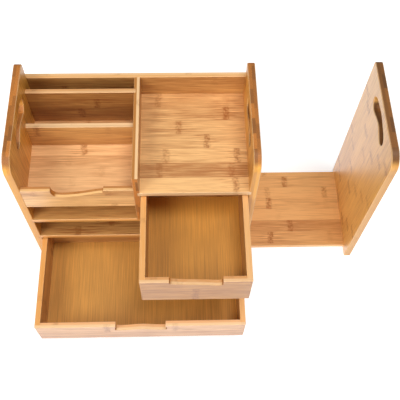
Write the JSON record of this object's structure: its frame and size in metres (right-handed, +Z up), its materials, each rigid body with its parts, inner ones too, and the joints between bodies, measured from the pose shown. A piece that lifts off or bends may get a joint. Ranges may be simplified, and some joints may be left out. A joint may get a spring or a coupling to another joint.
{
  "type": "desk organizer",
  "caption": "Bamboo desk organizer with file slots, open trays and shelves, sliding drawers with finger notches, and a bookend on a sheet that slides out from under it.",
  "frame": {"origin": "on the table, under the centre of the box around the whole part at rest, with both drawers and the bookend drawn out", "axes": "+X to the right, towards the bookend; +Y from the drawers' fronts to the back board; +Z up"},
  "size_m": [0.569, 0.3524, 0.34],
  "materials": {
    "bamboo_board": "clear satin lacquer over glued strips",
    "bamboo_veneer": "clear satin lacquer over a thin veneered sheet",
    "steel": "zinc plated"
  },
  "bodies": {
    "carcass": {"left_side_panel": "bamboo_board", "right_side_panel": "bamboo_board", "back_panel": "bamboo_board", "centre_divider": "bamboo_board", "rear_slot_divider": "bamboo_board", "front_slot_divider": "bamboo_board", "left_tray_floor": "bamboo_board", "left_tray_lip": "bamboo_board", "right_tray_floor": "bamboo_board", "upper_shelf": "bamboo_board", "lower_shelf": "bamboo_board", "bottom_board": "bamboo_board", "front_runner": "bamboo_board", "rear_runner": "bamboo_board", "stop_block": "bamboo_board", "left_panel_screws": "steel", "right_panel_screws": "steel", "back_board_screws": "steel"},
    "small_drawer": {"small_drawer_front": "bamboo_board", "small_drawer_left_side": "bamboo_board", "small_drawer_right_side": "bamboo_board", "small_drawer_back": "bamboo_board", "small_drawer_bottom": "bamboo_veneer"},
    "wide_drawer": {"wide_drawer_front": "bamboo_board", "wide_drawer_left_side": "bamboo_board", "wide_drawer_right_side": "bamboo_board", "wide_drawer_back": "bamboo_board", "wide_drawer_bottom": "bamboo_veneer"},
    "bookend": {"extension_sheet": "bamboo_board", "bookend_panel": "bamboo_board", "stop_cleat": "bamboo_board", "bookend_screws": "steel"}
  },
  "joints": [
    {"name": "small_drawer_slide", "type": "slide", "parent": "carcass", "child": "small_drawer", "axis": [0, -1, 0], "range_m": [-0.1395, 0.0255]},
    {"name": "wide_drawer_slide", "type": "slide", "parent": "carcass", "child": "wide_drawer", "axis": [0, -1, 0], "range_m": [-0.1585, 0.0065]},
    {"name": "bookend_slide", "type": "slide", "parent": "carcass", "child": "bookend", "axis": [1, 0, 0], "range_m": [-0.186, 0]}
  ]
}
